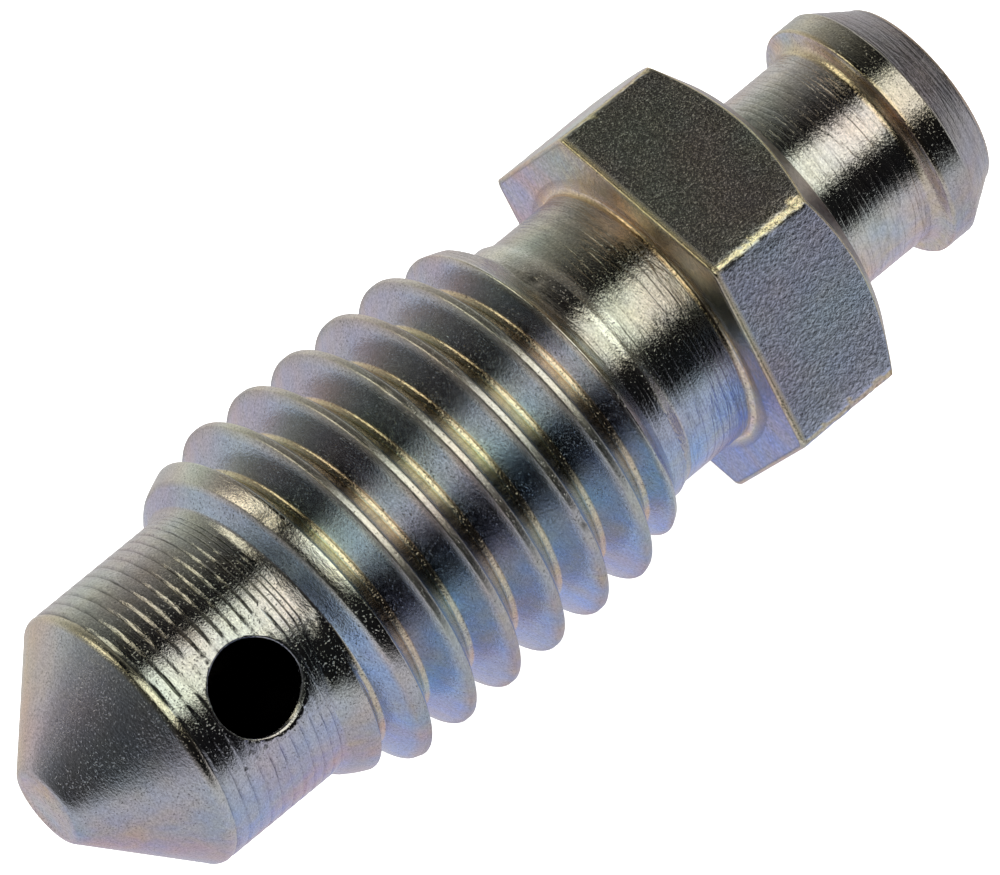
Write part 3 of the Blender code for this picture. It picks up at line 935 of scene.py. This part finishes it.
def attribute(tree, name):
    """A node that reads what the mesh keeps for each point."""
    made = tree.nodes.new("ShaderNodeAttribute")
    made.attribute_name = name
    return made


def stretched(tree, place, stretch):
    """The place, with its axes scaled, so that what is drawn there looks stretched."""
    made = tree.nodes.new("ShaderNodeVectorMath")
    made.operation = "MULTIPLY"
    tree.links.new(place, made.inputs[0])
    made.inputs[1].default_value = stretch
    return made.outputs["Vector"]


def maths(tree, operation, *values, clamp=False):
    """One sum of numbers or sockets."""
    made = tree.nodes.new("ShaderNodeMath")
    made.operation = operation
    made.use_clamp = clamp
    for socket, value in zip(made.inputs, values):
        feed(tree, socket, value)
    return made.outputs["Value"]


def between(tree, share, first, second):
    """A number between two others, by a share from 0 to 1."""
    return maths(tree, "MULTIPLY_ADD", share, second - first, first)


def mixed_vectors(tree, share, first, second):
    """A place between two others, by a share from 0 to 1."""
    made = tree.nodes.new("ShaderNodeMix")
    made.data_type = "VECTOR"
    tree.links.new(share, made.inputs["Factor"])
    tree.links.new(first, made.inputs[4])
    tree.links.new(second, made.inputs[5])
    return made.outputs[1]


def plated_steel():
    """Turned steel under a thin, faintly iridescent zinc plating with fine pits."""
    material = bpy.data.materials.new("plated_steel")
    material.use_nodes = True
    tree = material.node_tree
    shader = tree.nodes["Principled BSDF"]
    shader.inputs["Metallic"].default_value = 1.0
    place = tree.nodes.new("ShaderNodeTexCoord").outputs["Object"]
    milled = attribute(tree, "milled").outputs["Fac"]
    scored = attribute(tree, "scored").outputs["Fac"]
    turned_place = stretched(tree, place, (2.0, 1.0, 1.0))
    milled_place = stretched(tree, place, (0.8, 0.8, 0.8))
    skewed = mixed_vectors(tree, milled, turned_place, milled_place)
    grain = noise_texture(tree, skewed, GRAIN_SCALE, 3.0, 0.65)
    specks = noise_texture(tree, place, SPECK_SCALE)
    swarms = noise_texture(tree, place, SWARM_SCALE, 1.0)
    rarity = maths(tree, "MULTIPLY_ADD", swarms, -0.24, 0.82)
    pits = maths(tree, "MULTIPLY", maths(tree, "SUBTRACT", specks, rarity), 7.0, clamp=True)
    fine_lines = noise_texture(tree, stretched(tree, place, (9.0, 1.0, 1.0)), LINE_SCALE, 3.0, 0.7)
    scores = noise_texture(tree, stretched(tree, place, (12.0, 1.0, 1.0)), SCORE_SCALE, 1.0)
    off_line = maths(tree, "ABSOLUTE", maths(tree, "SUBTRACT", scores, 0.5))
    score = maths(tree, "MULTIPLY_ADD", off_line, -14.0, 1.0, clamp=True)
    height = maths(tree, "MULTIPLY", grain, between(tree, milled, TURNED_GRAIN, MILLED_GRAIN))
    for mark, plain, marked in (
        (pits, -PIT_DEPTH, -SCORED_PIT_DEPTH),
        (fine_lines, PLAIN_LINES, SCORED_LINES),
        (score, 0.0, -SCORE_DEPTH),
    ):
        height = maths(tree, "MULTIPLY_ADD", mark, between(tree, scored, plain, marked), height)
    bump = node(tree, "ShaderNodeBump", Height=height, Strength=1.0, Distance=1.0)
    tree.links.new(bump.outputs["Normal"], shader.inputs["Normal"])
    light = maths(tree, "MULTIPLY_ADD", grain, GRAIN_CONTRAST, DARKEST_GRAIN)
    pit_shade = between(tree, scored, -PIT_SHADE, -SCORED_PIT_SHADE)
    light = maths(tree, "MULTIPLY_ADD", pits, pit_shade, light)
    light = maths(tree, "MULTIPLY_ADD", maths(tree, "MULTIPLY", score, scored), -SCORE_SHADE, light)
    # The base colour is the per-point plating colour, which carries painted light and shade, scaled by
    # the grain
    colour = tree.nodes.new("ShaderNodeVectorMath")
    colour.operation = "SCALE"
    tree.links.new(attribute(tree, "plating").outputs["Color"], colour.inputs[0])
    tree.links.new(light, colour.inputs["Scale"])
    tree.links.new(colour.outputs["Vector"], shader.inputs["Base Color"])
    roughness = between(tree, milled, TURNED_ROUGHNESS, MILLED_ROUGHNESS)
    rough = attribute(tree, "rough").outputs["Fac"]
    roughness = maths(tree, "MULTIPLY_ADD", rough, WORN_ROUGHNESS, roughness)
    tree.links.new(roughness, shader.inputs["Roughness"])
    return material


def floor():
    """A pale sweep: flat under the screw, and curving up into a wall all round it."""
    flat = 0.35
    wall = 1.0
    profile = [(0.0, 0.0), (flat, 0.0)]
    for step in range(1, 13):
        angle = math.radians(90.0 * step / 12)
        profile.append((flat + (wall - flat) * math.sin(angle), (wall - flat) * (1.0 - math.cos(angle))))
    profile.append((wall, 1.6))
    sides = 64
    points = [(0.0, 0.0, 0.0)]
    faces = []
    for radius, height in profile[1:]:
        for side in range(sides):
            turn = math.tau * side / sides
            points.append((radius * math.cos(turn), radius * math.sin(turn), height))
    for side in range(sides):
        after = (side + 1) % sides
        faces.append((0, 1 + side, 1 + after))
        for row in range(len(profile) - 2):
            near, far = 1 + row * sides, 1 + (row + 1) * sides
            faces.append((near + side, far + side, far + after, near + after))
    mesh = bpy.data.meshes.new("floor")
    mesh.from_pydata(points, [], faces)
    mesh.shade_smooth()
    sweep = bpy.data.objects.new("floor", mesh)
    bpy.context.scene.collection.objects.link(sweep)
    # The metal reflects the studio's lower half, not the sweep, as in the photograph
    sweep.visible_glossy = False
    material = bpy.data.materials.new("pale_floor")
    material.use_nodes = True
    shader = material.node_tree.nodes["Principled BSDF"]
    shader.inputs["Base Color"].default_value = (0.85, 0.85, 0.85, 1.0)
    shader.inputs["Roughness"].default_value = 0.8
    shader.inputs["Specular IOR Level"].default_value = 0.0
    shader.inputs["Emission Color"].default_value = (1.0, 1.0, 1.0, 1.0)
    shader.inputs["Emission Strength"].default_value = 0.8
    mesh.materials.append(material)


def softbox(name, centre, aim, size, radiance, colour):
    """A rectangular lamp at a place in metres, facing a point."""
    light = bpy.data.lights.new(name, "AREA")
    light.shape = "RECTANGLE"
    light.size, light.size_y = size
    # A lamp's power spread over its face and all the directions in front of it
    light.energy = radiance * size[0] * size[1] * math.pi
    light.color = colour
    lamp = bpy.data.objects.new(name, light)
    bpy.context.scene.collection.objects.link(lamp)
    lamp.visible_camera = False
    facing = (Vector(aim) - Vector(centre)).to_track_quat("-Z", "Y").to_matrix().to_4x4()
    lamp.matrix_world = Matrix.Translation(centre) @ facing


def direction(azimuth, elevation):
    """A unit vector, from degrees counted from +X and from the floor."""
    a, e = math.radians(azimuth), math.radians(elevation)
    return Vector((math.cos(e) * math.cos(a), math.cos(e) * math.sin(a), math.sin(e)))


def mixed_colour(tree, share, first, second):
    """A colour between two others, by a share from 0 to 1."""
    made = tree.nodes.new("ShaderNodeMix")
    made.data_type = "RGBA"
    feed(tree, made.inputs["Factor"], share)
    feed(tree, made.inputs[6], first)
    feed(tree, made.inputs[7], second)
    return made.outputs[2]


def studio_world():
    """A dark studio, paler below the horizon and on the side away from the camera."""
    world = bpy.data.worlds.new("studio")
    bpy.context.scene.world = world
    world.use_nodes = True
    tree = world.node_tree
    facing = tree.nodes.new("ShaderNodeTexCoord").outputs["Generated"]
    axes = node(tree, "ShaderNodeSeparateXYZ", Vector=facing).outputs
    away = maths(tree, "MULTIPLY_ADD", axes["Y"], 0.5, 0.5, clamp=True)
    far_wall = maths(tree, "MULTIPLY", away, away)
    near_floor = (0.62, 0.63, 0.66, 1.0)
    far_floor = (0.60, 0.58, 0.58, 1.0)
    under = (0.64, 0.575, 0.655, 1.0)
    dark = (0.0, 0.0, 0.0, 1.0)
    dark_room = (0.006, 0.006, 0.007, 1.0)
    warm_white = (1.0, 0.97, 0.93, 1.0)
    lower = mixed_colour(tree, away, near_floor, far_floor)
    straight_down = maths(tree, "MULTIPLY_ADD", axes["Z"], -10.0, -8.6, clamp=True)
    lower = mixed_colour(tree, straight_down, lower, under)
    fading = maths(tree, "MULTIPLY_ADD", axes["Z"], -0.46, 0.42, clamp=True)
    wall = mixed_colour(tree, fading, dark, warm_white)
    upper = mixed_colour(tree, far_wall, dark_room, wall)
    share = maths(tree, "MULTIPLY_ADD", axes["Z"], 4.5, 0.85, clamp=True)
    colour = mixed_colour(tree, share, lower, upper)
    tree.links.new(colour, tree.nodes["Background"].inputs["Color"])


def lights():
    """A wide soft lamp overhead and a small warm card behind."""
    height = 0.30
    left, right, front, back = (-0.40, 1.9, -0.76, 0.03)
    middle = ((left + right) / 2 * height, (front + back) / 2 * height)
    size = ((right - left) * height, (back - front) * height)
    softbox("key", (*middle, height), (*middle, 0.0), size, radiance=1.12, colour=(1.0, 0.99, 0.93))
    glow = direction(128.0, 40.0) * 0.5
    screw_middle = (0.0, 0.0, 0.005)
    softbox("warm_card", glow, screw_middle, (0.20, 0.30), radiance=1.1, colour=(1.0, 0.92, 0.74))


def camera():
    """A long lens at the photograph's viewing angle."""
    lens = bpy.data.cameras.new("photo_view")
    lens.sensor_width = SENSOR_WIDTH
    lens.lens = VIEW_LENS
    lens.clip_start = 0.01
    lens.clip_end = 10.0
    eye = bpy.data.objects.new("photo_view", lens)
    bpy.context.scene.collection.objects.link(eye)
    back = Vector((
        math.cos(VIEW_ELEVATION) * math.cos(VIEW_AZIMUTH),
        math.cos(VIEW_ELEVATION) * math.sin(VIEW_AZIMUTH),
        math.sin(VIEW_ELEVATION),
    ))
    level = Vector((0, 0, 1)).cross(back).normalized()
    upright = back.cross(level)
    right = math.cos(VIEW_ROLL) * level + math.sin(VIEW_ROLL) * upright
    up = back.cross(right)
    frame_axes = Matrix((right, up, back)).transposed().to_4x4()
    eye.matrix_world = Matrix.Translation((Vector(VIEW_TARGET) + back * VIEW_DISTANCE) * MM) @ frame_axes
    bpy.context.scene.camera = eye


for leftover in list(bpy.data.objects):
    bpy.data.objects.remove(leftover)
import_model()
camera()
screw_piece()
floor()
lights()
studio_world()
bpy.context.scene.view_settings.view_transform = "Standard"
